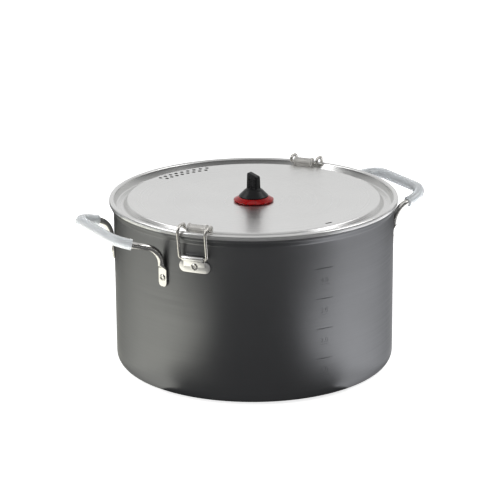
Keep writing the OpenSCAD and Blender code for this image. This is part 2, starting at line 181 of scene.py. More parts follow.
soft_box("left_panel", (-0.355, -0.015, 0.002), (-0.355, -0.015, 1), 0.47, 0.48, 1.06, "#FFFEF2")
soft_box("right_panel", (0.355, 0.035, 0.002), (0.355, 0.035, 1), 0.47, 0.56, 1.4, "#FDFDFF")
soft_box("left_foot", (-0.1, -0.005, 0.0005), (-0.1, -0.005, 1), 0.05, 0.2, 0.035, "#FFFEF4")
soft_box("right_foot", (0.1, 0.0, 0.0005), (0.1, 0, 1), 0.05, 0.2, 0.035, "#FDFDFF")
soft_box("left_box", (-0.90, 0.05, 1.0), (0, 0, 0.14), 1.0, 0.42, 4.2, "#FFFFFF")
soft_box("right_box", (0.90, 0.05, 1.0), (0, 0, 0.14), 1.0, 0.42, 4.6, "#FFFFFF")
soft_box("front_box", (-0.95, -0.45, 0.62), (0, 0, 0.15), 0.30, 0.26, 1.9, "#FFFFFF")
soft_box("top_box", (0, -0.30, 1.4), (0, 0, 0.1), 1.5, 1.5, 4.5, "#FFFFFF")

# ---- pot ----
# A deep drawn aluminium pot, hard anodised inside and out: a flat base, a round corner,
# a straight wall and a lip flared to carry the lid.
POT_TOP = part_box("pot_body")[1][2] / MM
POT_R = 114.5
POT_IN_R = 113.2
BASE_T = 1.8
LIP_T = 1.1
LIP_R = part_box("pot_body")[1][0] / MM
LIP_FOOT = POT_TOP - 8.3
LINE_Z = (34.2, 59.04, 83.88, 108.72)
LINE_TURN = 268.8
LINE_WIDE, UNDERLINE_WIDE = 15.5, 9
NUMBER_SIZE = 5.8


def rounded(corners, steps=6):
    """Points along a section, from its corners (r, z, bend radius) in millimetres."""
    points = []
    for i, corner in enumerate(corners):
        here, bend = Vector(corner[:2]), corner[2] if len(corner) > 2 else 0
        if bend == 0:
            points.append(here)
            continue
        back = (Vector(corners[i - 1][:2]) - here).normalized()
        on = (Vector(corners[(i + 1) % len(corners)][:2]) - here).normalized()
        half = back.angle(on) / 2
        middle = here + (back + on).normalized() * (bend / math.sin(half))
        first = here + back * (bend / math.tan(half)) - middle
        last = here + on * (bend / math.tan(half)) - middle
        swing = first.angle_signed(last)
        for k in range(steps + 1):
            a = -swing * k / steps
            points.append(middle + Matrix.Rotation(a, 2) @ first)
    return points


def drawn_line(name, points):
    """One vertex extruded from point to point, in millimetres; the object stays in edit mode."""
    clear_selection()
    points = [Vector(p) * MM for p in points]
    bpy.ops.mesh.primitive_plane_add(size=MM, location=points[0])
    line = bpy.context.object
    line.name = line.data.name = name
    bpy.ops.object.transform_apply(location=True, rotation=True, scale=True)
    bpy.ops.object.mode_set(mode="EDIT")
    bpy.ops.mesh.merge(type="CENTER")
    for here, there in zip(points, points[1:]):
        bpy.ops.mesh.extrude_region_move(TRANSFORM_OT_translate={"value": there - here})
    return line


def close_up(smooth=40):
    """Joins what lies in one place, turns the faces outwards and smooths all but the sharp edges."""
    bpy.ops.mesh.select_all(action="SELECT")
    bpy.ops.mesh.remove_doubles(threshold=0.002 * MM)
    bpy.ops.mesh.normals_make_consistent(inside=False)
    bpy.ops.object.mode_set(mode="OBJECT")
    bpy.ops.object.shade_smooth_by_angle(angle=math.radians(smooth))


def turned(name, section, around=192):
    """A section in r and z, spun all the way round the upright axis."""
    piece = drawn_line(name, [(p.x, 0, p.y) for p in section])
    bpy.ops.mesh.select_all(action="SELECT")
    bpy.ops.mesh.spin(steps=around, angle=2 * math.pi, center=(0, 0, 0), axis=(0, 0, 1))
    close_up()
    return piece


def finish_with(piece, kind, **settings):
    """Adds a modifier to the piece and applies it."""
    clear_selection()
    piece.select_set(True)
    bpy.context.view_layer.objects.active = piece
    modifier = piece.modifiers.new(kind.lower(), kind)
    for name, value in settings.items():
        setattr(modifier, name, value)
    bpy.ops.object.modifier_apply(modifier=modifier.name)


def joined(name, pieces):
    """Several pieces made one mesh."""
    clear_selection()
    for piece in pieces:
        piece.select_set(True)
    bpy.context.view_layer.objects.active = pieces[0]
    bpy.ops.object.join()
    pieces[0].name = pieces[0].data.name = name
    return pieces[0]


def settled(piece, turn=0.0, move=(0, 0, 0), lay=0.0):
    """Lays the piece over about X, turns it about Z and moves it, leaving its object at the origin."""
    clear_selection()
    piece.select_set(True)
    bpy.context.view_layer.objects.active = piece
    piece.matrix_world = (Matrix.Rotation(math.radians(turn), 4, "Z")
                          @ Matrix.Translation(Vector(move) * MM)
                          @ Matrix.Rotation(math.radians(lay), 4, "X"))
    bpy.ops.object.transform_apply(location=True, rotation=True, scale=True)
    return piece


wall_rows = [(POT_R, 18 + 8 * i) for i in range(14)]
pot_section = rounded(
    [(0, 0), (105, 0), (POT_R, 0, 9.5)] + wall_rows
    + [(POT_R, LIP_FOOT, 3), (LIP_R, LIP_FOOT + 3.4, 1.6), (LIP_R, POT_TOP, 0.5),
       (LIP_R - LIP_T, POT_TOP, 0.5), (LIP_R - LIP_T, LIP_FOOT + 3.4, 2.4), (POT_IN_R, LIP_FOOT, 3),
       (POT_IN_R, 60), (POT_IN_R, BASE_T, 8.2), (104, BASE_T), (0, BASE_T)], steps=8)
pot = turned("pot_shell", pot_section)


def bar(z, wide, deep, tall):
    """A straight bar across the wall's outside, to cut a line with."""
    clear_selection()
    bpy.ops.mesh.primitive_cube_add(size=1, location=(0, -(POT_R + 0.3) * MM, z * MM))
    cutter = bpy.context.object
    cutter.scale = (wide * MM, deep * MM, tall * MM)
    bpy.ops.object.transform_apply(location=True, rotation=True, scale=True)
    return cutter


# A litre apart, each level line is cut up to 0.5 mm deep, and its number and underline 0.2 mm
cutters = []
for level, z in enumerate(LINE_Z, 1):
    cutters.append(bar(z + 0.28, LINE_WIDE, 1.6, 0.55))
    clear_selection()
    bpy.ops.object.text_add(rotation=(math.pi / 2, 0, 0),
                            location=(0, -(POT_R + 0.3) * MM, (z - 11.3) * MM))
    number = bpy.context.object
    number.data.body = f"{level}.0"
    number.data.size = NUMBER_SIZE * MM
    number.data.align_x = "CENTER"
    number.data.extrude = 0.5 * MM
    bpy.ops.object.convert(target="MESH")
    number = bpy.context.object
    bpy.ops.object.transform_apply(location=True, rotation=True, scale=True)
    cutters.append(number)
    cutters.append(bar(z - 12.9, UNDERLINE_WIDE, 1.0, 0.4))
marks = settled(joined("mark_cutters", cutters), turn=LINE_TURN - 270)
finish_with(pot, "BOOLEAN", object=marks, operation="DIFFERENCE", solver="EXACT")
bpy.data.objects.remove(marks)
bpy.ops.object.shade_smooth_by_angle(angle=math.radians(30))

# Hard anodised aluminium: the thick oxide film is a dark grey metal-like skin, even and satin,
# with a fine etched grain of about 0.4 mm and faint rings left round the wall by the lathe.
anodised, out = new_material("hard_anodised_aluminium")
place = add_node(anodised, "ShaderNodeTexCoord").outputs["Object"]
grain = add_node(anodised, "ShaderNodeTexNoise", {"Scale": 2500.0, "Detail": 3.0, "Roughness": 0.6},
                 Vector=place)
rings_at = add_node(anodised, "ShaderNodeMapping", {"Scale": (8.0, 8.0, 900.0)}, Vector=place)
rings = add_node(anodised, "ShaderNodeTexNoise", {"Scale": 1.0, "Detail": 2.0}, Vector=rings_at.outputs[0])
patches = add_node(anodised, "ShaderNodeTexNoise", {"Scale": 22.0, "Detail": 3.0}, Vector=place)
tone = add_node(anodised, "ShaderNodeMix",
                {"data_type": "RGBA", "A": srgb("#707172"), "B": srgb("#77787A")},
                Factor=patches.outputs["Fac"])
film = add_node(anodised, "ShaderNodeMapRange",
                {"From Min": 0.3, "From Max": 0.7, "To Min": 0.36, "To Max": 0.43},
                Value=rings.outputs["Fac"])
etch = add_node(anodised, "ShaderNodeBump", {"Strength": 0.12, "Distance": 0.05 * MM},
                Height=grain.outputs["Fac"])
skin = add_node(anodised, "ShaderNodeBsdfPrincipled", {"Metallic": 1.0, "Specular Tint": srgb("#A8A8A8")},
                Base_Color=tone.outputs["Result"], Roughness=film.outputs["Result"],
                Normal=etch.outputs["Normal"])
anodised.node_tree.links.new(skin.outputs[0], out.inputs["Surface"])
wear(pot, anodised)
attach(pot, "root")
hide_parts("pot_body")

# ---- lid ----
# A spun aluminium lid: a slightly dished panel, a sunk channel round it, and a rim rolled
# over the pot's lip. Two rows of strainer holes are punched at one side and a vent slot opposite.
RIM_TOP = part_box("lid")[1][2] / MM
RIM_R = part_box("lid")[1][0] / MM - 0.02
SHEET = 0.9
PANEL_R = 103.0
PANEL_Z = RIM_TOP - 1.6
DISH = 3.5
SEAT_R, SEAT_Z = 17.6, PANEL_Z - DISH
CHANNEL_Z = RIM_TOP - 6.7
SCREW_HOLE_R = 2.35
LID_TURN = 8.5

panel = [(SEAT_R + out_by, SEAT_Z + DISH * (out_by / (PANEL_R - SEAT_R)) ** 2)
         for out_by in [82.0 * i / 12 for i in range(13)]]
lid_section = rounded(
    [(SCREW_HOLE_R, SEAT_Z)] + panel
    + [(PANEL_R, PANEL_Z, 1.6), (106.2, CHANNEL_Z, 1.6), (112.2, CHANNEL_Z, 1.3),
       (114.35, RIM_TOP, 1.7), (RIM_R, RIM_TOP, 1.7), (RIM_R, RIM_TOP - 3.6)], steps=8)
lid = turned("lid_shell", lid_section)
# The sheet is thickened downwards, so its faces have to look up
if lid.data.polygons[0].normal.z < 0:
    bpy.ops.object.mode_set(mode="EDIT")
    bpy.ops.mesh.flip_normals()
    bpy.ops.object.mode_set(mode="OBJECT")
finish_with(lid, "SOLIDIFY", thickness=SHEET * MM, offset=-1.0, use_even_offset=True)
bpy.ops.object.shade_smooth_by_angle(angle=math.radians(40))


def punch(x, y, radius):
    """A round punch standing through the lid's sheet."""
    clear_selection()
    bpy.ops.mesh.primitive_cylinder_add(vertices=24, radius=radius * MM, depth=16 * MM,
                                        location=(x * MM, y * MM, PANEL_Z * MM))
    bpy.ops.object.transform_apply(location=True, rotation=True, scale=True)
    return bpy.context.object


STRAINER_R, STRAINER_PITCH, ROW_GAP = 1.6, 6.2, 4.6
VENT_R, VENT_REACH = 1.2, 2.05
punches = []
row_r = PANEL_R - ROW_GAP
for count, r in ((9, row_r), (8, row_r - ROW_GAP)):
    for i in range(count):
        a = math.pi / 2 + (i - (count - 1) / 2) * STRAINER_PITCH / row_r
        punches.append(punch(r * math.cos(a), r * math.sin(a), STRAINER_R))
# The vent's round punch is pulled apart into a slot
slot = punch(0, 0, VENT_R)
bpy.ops.object.mode_set(mode="EDIT")
bpy.ops.mesh.select_all(action="DESELECT")
bpy.ops.object.mode_set(mode="OBJECT")
for side in (-1, 1):
    for v in slot.data.vertices:
        v.select = v.co.x * side > 0.0001 * MM
    bpy.ops.object.mode_set(mode="EDIT")
    bpy.ops.transform.translate(value=(side * VENT_REACH * MM, 0, 0))
    bpy.ops.mesh.select_all(action="DESELECT")
    bpy.ops.object.mode_set(mode="OBJECT")
settled(slot, move=(0, -(PANEL_R - 8), 0))
tools = joined("lid_punches", punches + [slot])
finish_with(lid, "BOOLEAN", object=tools, operation="DIFFERENCE", solver="EXACT")
bpy.data.objects.remove(tools)
bpy.ops.object.shade_smooth_by_angle(angle=math.radians(40))
settled(lid, turn=LID_TURN)

# Spun aluminium, scoured to a satin: a pale grey metal with fine turning rings about 0.7 mm apart,
# which spread its reflections along the radius.
spun, out = new_material("spun_aluminium")
place = add_node(spun, "ShaderNodeTexCoord").outputs["Object"]
flat = add_node(spun, "ShaderNodeVectorMath", {"operation": "MULTIPLY"}, _0=place)
flat.inputs[1].default_value = (1.0, 1.0, 0.0)
reach = add_node(spun, "ShaderNodeVectorMath", {"operation": "LENGTH"}, _0=flat.outputs[0])
turning = add_node(spun, "ShaderNodeTexNoise",
                   {"noise_dimensions": "1D", "Scale": 1400.0, "Detail": 3.0}, W=reach.outputs["Value"])
cloud = add_node(spun, "ShaderNodeTexNoise", {"Scale": 30.0, "Detail": 3.0}, Vector=place)
tone = add_node(spun, "ShaderNodeMix", {"data_type": "RGBA", "A": srgb("#D6D6D5"), "B": srgb("#DEDEDD")},
                Factor=cloud.outputs["Fac"])
satin = add_node(spun, "ShaderNodeMapRange",
                 {"From Min": 0.3, "From Max": 0.7, "To Min": 0.27, "To Max": 0.33},
                 Value=turning.outputs["Fac"])
groove = add_node(spun, "ShaderNodeBump", {"Strength": 0.04, "Distance": 0.02 * MM},
                  Height=turning.outputs["Fac"])
metal = add_node(spun, "ShaderNodeBsdfPrincipled", {"Metallic": 1.0}, Base_Color=tone.outputs["Result"],
                 Roughness=satin.outputs["Result"], Normal=groove.outputs["Normal"])
spun.node_tree.links.new(metal.outputs[0], out.inputs["Surface"])
wear(lid, spun)
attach(lid, "lid")
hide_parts("lid")

# ---- knob skirt ----
# A ring of clear red plastic under the grip, moulded with a thin outer edge.
# It is glossy all over, and deep red where the grip and the lid show through it.
SKIRT_R = 16.4
CONE_R = 12
skirt_section = rounded(
    [(SCREW_HOLE_R, SEAT_Z + 0.05), (14.8, SEAT_Z + 0.05, 0.3), (SKIRT_R, SEAT_Z + 0.95, 0.35),
     (SKIRT_R, SEAT_Z + 1.45, 0.3), (CONE_R, SEAT_Z + 3.85, 0.2), (SCREW_HOLE_R, SEAT_Z + 3.85),
     (SCREW_HOLE_R, SEAT_Z + 0.05)], steps=5)
skirt = turned("knob_ring", skirt_section, around=96)
red_clear, out = new_material("clear_red_polycarbonate")
place = add_node(red_clear, "ShaderNodeTexCoord").outputs["Object"]
flow = add_node(red_clear, "ShaderNodeTexNoise", {"Scale": 120.0, "Detail": 2.0}, Vector=place)
tint = add_node(red_clear, "ShaderNodeMix", {"data_type": "RGBA", "A": srgb("#B80107"), "B": srgb("#EA040D")},
                Factor=flow.outputs["Fac"])
ripple = add_node(red_clear, "ShaderNodeBump", {"Strength": 0.15, "Distance": 0.05 * MM},
                  Height=flow.outputs["Fac"])
plastic = add_node(red_clear, "ShaderNodeBsdfPrincipled",
                   {"Roughness": 0.08, "IOR": 1.5, "Transmission Weight": 0.55, "Specular IOR Level": 0.06},
                   Base_Color=tint.outputs["Result"], Normal=ripple.outputs["Normal"])
red_clear.node_tree.links.new(plastic.outputs[0], out.inputs["Surface"])
wear(skirt, red_clear)
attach(skirt, "lid")
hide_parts("knob_skirt")

# ---- knob grip ----
# A black moulded grip: a low cone that rises into an upright blade with a slanted top.
# Its sides carry rows of shallow round dimples for a dry hold.
GRIP_Z = SEAT_Z + 3.9
BLADE_Z = GRIP_Z + 6.4
BLADE_W, BLADE_T, BLADE_H = 10.4, 7.0, 13.4
BLADE_TURN = -66
BLADE_ROOT = 3
TOP_FALL = math.tan(math.radians(17))
BLADE_TAPER = (0.93, 0.9, 1)
DIMPLE_R, DIMPLE_OUT, DIMPLE_PITCH, ROW_PITCH = 1.0, 0.42, 2.1, 2.0

cone_section = rounded([(0, GRIP_Z), (CONE_R, GRIP_Z, 0.15), (CONE_R, GRIP_Z + 0.7, 0.3),
                        (7.4, BLADE_Z - 1.0, 3), (5.0, BLADE_Z + 0.6), (0, BLADE_Z + 0.6)], steps=5)
cone = turned("grip_cone", cone_section, around=96)
clear_selection()
bpy.ops.mesh.primitive_cube_add(size=1, location=(0, 0, (BLADE_Z + (BLADE_H - BLADE_ROOT) / 2) * MM))
blade = bpy.context.object
blade.scale = (BLADE_W * MM, BLADE_T * MM, (BLADE_H + BLADE_ROOT) * MM)
bpy.ops.object.transform_apply(location=True, rotation=True, scale=True)
# The sides lean in a little, and then the top falls 17 degrees along the blade
for v in blade.data.vertices:
    v.select = v.co.z > BLADE_Z * MM
for e in blade.data.edges:
    e.select = False
for f in blade.data.polygons:
    f.select = f.center.z > (BLADE_Z + BLADE_H - 1) * MM
bpy.ops.object.mode_set(mode="EDIT")
bpy.ops.transform.resize(value=BLADE_TAPER)
bpy.ops.object.mode_set(mode="OBJECT")
for v in blade.data.vertices:
    v.select = v.co.z > BLADE_Z * MM and v.co.x > 0
for e in blade.data.edges:
    e.select = all(blade.data.vertices[i].select for i in e.vertices)
for f in blade.data.polygons:
    f.select = False
bpy.ops.object.mode_set(mode="EDIT")
bpy.ops.mesh.select_mode(type="VERT")
bpy.ops.transform.translate(value=(0, 0, -BLADE_W * BLADE_TAPER[0] * TOP_FALL * MM))
bpy.ops.mesh.select_all(action="SELECT")
bpy.ops.mesh.bevel(offset=1.3 * MM, segments=4, affect="EDGES")
bpy.ops.object.mode_set(mode="OBJECT")


def copied(piece, name, turn=0.0, move=(0, 0, 0)):
    """A copy of the piece with its own mesh, moved and turned about the pot's axis."""
    twin = piece.copy()
    twin.data = piece.data.copy()
    twin.name = twin.data.name = name
    bpy.context.scene.collection.objects.link(twin)
    return settled(twin, turn=turn, move=move)


# Four columns of dimples on each broad side and two on each narrow one, every other one half a row up
dimples = []
for side in (-1, 1):
    for column in range(4):
        for row in range(6):
            x = (column - 1.5) * DIMPLE_PITCH
            z = BLADE_Z + 0.8 + (row + (column % 2) / 2) * ROW_PITCH
            if z < BLADE_Z + BLADE_H - 1.4 - (x + BLADE_W / 2) * TOP_FALL:
                dimples.append((x, side * (BLADE_T / 2 + DIMPLE_OUT - 0.025 * (z - BLADE_Z)), z))
    for column in range(2):
        for row in range(5):
            z = BLADE_Z + 0.8 + (row + column / 2) * ROW_PITCH
            if z < BLADE_Z + BLADE_H - (4.6 if side > 0 else 1.6):
                x = side * (BLADE_W / 2 + DIMPLE_OUT - 0.028 * (z - BLADE_Z))
                dimples.append((x, (column - 0.5) * DIMPLE_PITCH, z))
clear_selection()
bpy.ops.mesh.primitive_ico_sphere_add(subdivisions=2, radius=DIMPLE_R * MM)
ball = bpy.context.object
dents = joined("grip_dents", [copied(ball, "dent", move=spot) for spot in dimples])
bpy.data.objects.remove(ball)
finish_with(blade, "BOOLEAN", object=dents, operation="DIFFERENCE", solver="EXACT")
bpy.data.objects.remove(dents)
finish_with(blade, "BOOLEAN", object=cone, operation="UNION", solver="EXACT")
bpy.data.objects.remove(cone)
finish_with(blade, "REMESH", mode="VOXEL", voxel_size=0.19 * MM, use_smooth_shade=True)
finish_with(blade, "SMOOTH", factor=0.5, iterations=2)
grip = settled(blade, turn=BLADE_TURN)
grip.name = grip.data.name = "knob_blade"

# Glass-filled nylon, moulded in a spark-eroded tool: near black, with a fine pebbled grain of
# about 0.5 mm that breaks up its highlights.
black_nylon, out = new_material("moulded_black_nylon")
place = add_node(black_nylon, "ShaderNodeTexCoord").outputs["Object"]
pebble = add_node(black_nylon, "ShaderNodeTexVoronoi", {"Scale": 1800.0}, Vector=place)
haze = add_node(black_nylon, "ShaderNodeTexNoise", {"Scale": 400.0, "Detail": 4.0}, Vector=place)
tone = add_node(black_nylon, "ShaderNodeMix",
                {"data_type": "RGBA", "A": srgb("#090A0B"), "B": srgb("#121315")}, Factor=haze.outputs["Fac"])
sheen = add_node(black_nylon, "ShaderNodeMapRange", {"To Min": 0.26, "To Max": 0.4},
                 Value=haze.outputs["Fac"])
relief = add_node(black_nylon, "ShaderNodeBump", {"Strength": 0.5, "Distance": 0.08 * MM},
                  Height=pebble.outputs["Distance"])
nylon = add_node(black_nylon, "ShaderNodeBsdfPrincipled", {"IOR": 1.5, "Specular IOR Level": 0.22},
                 Base_Color=tone.outputs["Result"], Roughness=sheen.outputs["Result"],
                 Normal=relief.outputs["Normal"])
black_nylon.node_tree.links.new(nylon.outputs[0], out.inputs["Surface"])
wear(grip, black_nylon)
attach(grip, "lid")
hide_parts("knob_grip")

# ---- knob fastening ----
# A turned brass insert in the grip takes a slotted screw, which clamps the lid with a plain washer.
# All three are out of sight from above, so the plain solids stay and only wear their metals.
brass, out = new_material("turned_brass")
place = add_node(brass, "ShaderNodeTexCoord").outputs["Object"]
cut_at = add_node(brass, "ShaderNodeMapping", {"Scale": (60.0, 60.0, 3000.0)}, Vector=place)
cut = add_node(brass, "ShaderNodeTexNoise", {"Scale": 1.0, "Detail": 2.0}, Vector=cut_at.outputs[0])
tone = add_node(brass, "ShaderNodeMix", {"data_type": "RGBA", "A": srgb("#B58A3E"), "B": srgb("#D2AC5C")},
                Factor=cut.outputs["Fac"])
shine = add_node(brass, "ShaderNodeMapRange", {"To Min": 0.2, "To Max": 0.4}, Value=cut.outputs["Fac"])
metal = add_node(brass, "ShaderNodeBsdfPrincipled", {"Metallic": 1.0}, Base_Color=tone.outputs["Result"],
                 Roughness=shine.outputs["Result"])
brass.node_tree.links.new(metal.outputs[0], out.inputs["Surface"])
wear(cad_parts["knob_insert"], brass)

# Nickel-plated steel: a bright, slightly warm grey with a thin bloom left by the plating bath
plated, out = new_material("nickel_plated_steel")
place = add_node(plated, "ShaderNodeTexCoord").outputs["Object"]
bloom = add_node(plated, "ShaderNodeTexNoise", {"Scale": 700.0, "Detail": 4.0}, Vector=place)
tone = add_node(plated, "ShaderNodeMix", {"data_type": "RGBA", "A": srgb("#BDBBB6"), "B": srgb("#D9D8D4")},
                Factor=bloom.outputs["Fac"])
shine = add_node(plated, "ShaderNodeMapRange", {"To Min": 0.16, "To Max": 0.34}, Value=bloom.outputs["Fac"])
metal = add_node(plated, "ShaderNodeBsdfPrincipled", {"Metallic": 1.0}, Base_Color=tone.outputs["Result"],
                 Roughness=shine.outputs["Result"])
plated.node_tree.links.new(metal.outputs[0], out.inputs["Surface"])
for name in ("knob_screw", "knob_washer"):
    wear(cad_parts[name], plated)

# ---- handle rods ----
# Each handle is one polished steel rod, bent out from the wall, across and back. Both ends are
# pressed flat into tabs that lie on the wall and take a rivet each.
ROD_R = 2.6
ROD_OFF = 0.3
CORNER_BEND, KNEE_BEND = 20, 16
TAB_TURN = 22.1
KNEE_R = POT_R + ROD_OFF + ROD_R
KNEE = Vector((KNEE_R * math.cos(math.radians(TAB_TURN)), KNEE_R * math.sin(math.radians(TAB_TURN)), 122.5))
CORNER = Vector((143.0, KNEE.y - 3, 131.8))
FOOT_Z = 109.8
TAB_LOW, TAB_HIGH = 91.3, 105.3


def flipped(p):
    """The same place on the handle's other leg."""
    return Vector((p.x, -p.y, p.z))


def bent_wire(name, corners, bends, radius, around=24, fine=8):
    """A round wire run from corner to corner and swung round each bend, with both ends left open."""
    clear_selection()
    corners = [Vector(c) for c in corners]
    first = (corners[1] - corners[0]).normalized()
    bpy.ops.mesh.primitive_circle_add(vertices=around, radius=radius * MM, location=corners[0] * MM,
                                      rotation=first.to_track_quat("Z", "Y").to_euler())
    wire = bpy.context.object
    wire.name = wire.data.name = name
    bpy.ops.object.transform_apply(location=True, rotation=True, scale=True)
    bpy.ops.object.mode_set(mode="EDIT")
    bpy.ops.mesh.select_all(action="SELECT")
    here = corners[0]
    for i in range(1, len(corners)):
        back = (corners[i] - corners[i - 1]).normalized()
        if i == len(corners) - 1:
            bpy.ops.mesh.extrude_region_move(TRANSFORM_OT_translate={"value": (corners[i] - here) * MM})
            break
        on = (corners[i + 1] - corners[i]).normalized()
        turn = back.angle(on)
        reach = bends[i] * math.tan(turn / 2)
        start = corners[i] - back * reach
        bpy.ops.mesh.extrude_region_move(TRANSFORM_OT_translate={"value": (start - here) * MM})
        inward = (on - on.dot(back) * back).normalized()
        bpy.ops.mesh.spin(steps=fine, angle=turn, center=(start + inward * bends[i]) * MM,
                          axis=on.cross(back))
        here = corners[i] + on * reach
    return wire


foot = Vector((KNEE.x, KNEE.y, FOOT_Z))
rod = bent_wire("handle_rod", [foot, KNEE, CORNER, flipped(CORNER), flipped(KNEE), flipped(foot)],
                [0, KNEE_BEND, CORNER_BEND, CORNER_BEND, KNEE_BEND, 0], ROD_R, around=32, fine=14)
bpy.ops.object.mode_set(mode="OBJECT")

# One end, drawn upwards from the tab's round tip and then pressed flat, level by level. Each level
# has its height, its half width and its half thickness.
TAB_HALF = 0.9
levels = [(TAB_LOW, 0.9, 0.45), (TAB_LOW + 0.25, 1.6, 0.7), (TAB_LOW + 0.9, 2.75, 0.85),
          (TAB_LOW + 2.0, 3.6, TAB_HALF), (TAB_LOW + 3.9, 4.1, TAB_HALF), (TAB_HIGH, 4.1, TAB_HALF),
          (TAB_HIGH + 1.2, 3.75, 1.15), (TAB_HIGH + 2.6, 3.2, 1.75), (TAB_HIGH + 3.7, 2.8, 2.4),
          (FOOT_Z - 0.3, ROD_R, ROD_R)]
clear_selection()
bpy.ops.mesh.primitive_circle_add(vertices=32, radius=levels[0][1] * MM, location=(0, 0, TAB_LOW * MM),
                                  fill_type="NGON")
tab = bpy.context.object
bpy.ops.object.transform_apply(location=True, rotation=True, scale=True)
bpy.ops.object.mode_set(mode="EDIT")
for (z0, r0, _), (z1, r1, _) in zip(levels, levels[1:]):
    bpy.ops.mesh.extrude_region_move(TRANSFORM_OT_translate={"value": (0, 0, (z1 - z0) * MM)})
    bpy.ops.transform.resize(value=(r1 / r0, r1 / r0, 1), center_override=(0, 0, z1 * MM))
bpy.ops.mesh.delete(type="ONLY_FACE")
bpy.ops.object.mode_set(mode="OBJECT")
for z, _, half in levels:
    for side in (-1, 1):
        for v in tab.data.vertices:
            v.select = abs(v.co.z - z * MM) < 0.01 * MM and v.co.x * side > half * MM
        for e in tab.data.edges:
            e.select = False
        bpy.ops.object.mode_set(mode="EDIT")
        bpy.ops.mesh.select_mode(type="VERT")
        bpy.ops.transform.resize(value=(0, 1, 1), center_override=(side * half * MM, 0, z * MM))
        bpy.ops.mesh.select_all(action="DESELECT")
        bpy.ops.object.mode_set(mode="OBJECT")
    # Each level's middle steps out from the tab's place on the wall to the rod's
    gap = 0.05 + (0 if half < 1 else (ROD_OFF - 0.05) * (half - TAB_HALF) / (ROD_R - TAB_HALF))
    out_by = half + gap - (ROD_OFF + ROD_R)
    for v in tab.data.vertices:
        v.select = abs(v.co.z - z * MM) < 0.01 * MM
    bpy.ops.object.mode_set(mode="EDIT")
    bpy.ops.transform.translate(value=(out_by * MM, 0, 0))
    bpy.ops.mesh.select_all(action="DESELECT")
    bpy.ops.object.mode_set(mode="OBJECT")
other_tab = copied(tab, "other_tab", turn=-TAB_TURN, move=(KNEE_R, 0, 0))
settled(tab, turn=TAB_TURN, move=(KNEE_R, 0, 0))
rod = joined("right_rod", [rod, tab, other_tab])
# The rod's open ends are bridged to the tabs' a little below them
bpy.ops.object.mode_set(mode="EDIT")
bpy.ops.mesh.select_mode(type="EDGE")
for side in (-1, 1):
    bpy.ops.mesh.select_all(action="DESELECT")
    bpy.ops.object.mode_set(mode="OBJECT")
    for e in rod.data.edges:
        ends = [rod.data.vertices[i].co for i in e.vertices]
        at_foot = all(abs(end.z - FOOT_Z * MM) < 0.35 * MM and end.y * side > 0 for end in ends)
        e.select = at_foot and abs(ends[0].z - ends[1].z) < 0.01 * MM
    bpy.ops.object.mode_set(mode="EDIT")
    bpy.ops.mesh.bridge_edge_loops()
bpy.ops.mesh.select_mode(type="VERT")
close_up(50)
left_rod = copied(rod, "left_rod", 180)

# Stainless steel rod, polished: a bright neutral mirror, softened by hairlines about 0.3 mm apart
polished, out = new_material("polished_stainless_rod")
place = add_node(polished, "ShaderNodeTexCoord").outputs["Object"]
hairs_at = add_node(polished, "ShaderNodeMapping", {"Scale": (500.0, 120.0, 3000.0)}, Vector=place)
hairs = add_node(polished, "ShaderNodeTexNoise", {"Scale": 1.0, "Detail": 3.0}, Vector=hairs_at.outputs[0])
tone = add_node(polished, "ShaderNodeMix", {"data_type": "RGBA", "A": srgb("#C6C4C0"), "B": srgb("#E2E1DE")},
                Factor=hairs.outputs["Fac"])
shine = add_node(polished, "ShaderNodeMapRange", {"To Min": 0.10, "To Max": 0.24}, Value=hairs.outputs["Fac"])
metal = add_node(polished, "ShaderNodeBsdfPrincipled", {"Metallic": 1.0}, Base_Color=tone.outputs["Result"],
                 Roughness=shine.outputs["Result"])
polished.node_tree.links.new(metal.outputs[0], out.inputs["Surface"])
for piece, node in ((rod, "right_handle_rod"), (left_rod, "left_handle_rod")):
    wear(piece, polished)
    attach(piece, "root")
    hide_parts(node)

# ---- handle sleeves ----
# A clear silicone tube is pushed over each rod before it is riveted on, and keeps the grip cool.
# It slides along its rod, and the left one has slid a few millimetres towards the back.
SLEEVE_R, SLEEVE_WALL = 4.28, 1.58


def tube(name, start, end):
    """A sleeve from this share of the way up one leg to that share of the way up the other."""
    feet = [KNEE + (CORNER - KNEE) * share for share in (start, end)]
    return bent_wire(name, [feet[0], CORNER, flipped(CORNER), flipped(feet[1])],
                     [0, CORNER_BEND, CORNER_BEND, 0], SLEEVE_R, around=40, fine=18)


def walled(sleeve):
    """Gives the tube its wall, with square-cut ends."""
    bpy.ops.mesh.select_all(action="SELECT")
    bpy.ops.mesh.normals_make_consistent(inside=False)
    bpy.ops.object.mode_set(mode="OBJECT")
    finish_with(sleeve, "SOLIDIFY", thickness=SLEEVE_WALL * MM, offset=-1.0)
    finish_with(sleeve, "BEVEL", width=0.25 * MM, segments=3, limit_method="ANGLE",
                angle_limit=math.radians(50))
    bpy.ops.object.shade_smooth_by_angle(angle=math.radians(50))
    return sleeve


sleeve = walled(tube("right_sleeve", 0.4, 0.4))
# The left one's front end is cut off 22 degrees into the bend, which is where it has slid to
left_sleeve = tube("left_sleeve", 0.4, 0.35)
along = (CORNER - KNEE).normalized()
across = flipped(CORNER) - CORNER
inward = (across - across.dot(along) * along).normalized()
bend_start = CORNER - along * CORNER_BEND * math.tan(along.angle(across) / 2)
slid = math.radians(22)
cut_at = bend_start + (along * math.sin(slid) + inward * (1 - math.cos(slid))) * CORNER_BEND
bpy.ops.mesh.select_all(action="DESELECT")
bpy.ops.object.mode_set(mode="OBJECT")
for f in left_sleeve.data.polygons:
    f.select = f.center.y > 20 * MM
bpy.ops.object.mode_set(mode="EDIT")
bpy.ops.mesh.bisect(plane_co=cut_at * MM, plane_no=along * math.cos(slid) + inward * math.sin(slid),
                    clear_inner=True)
settled(walled(left_sleeve), turn=180)

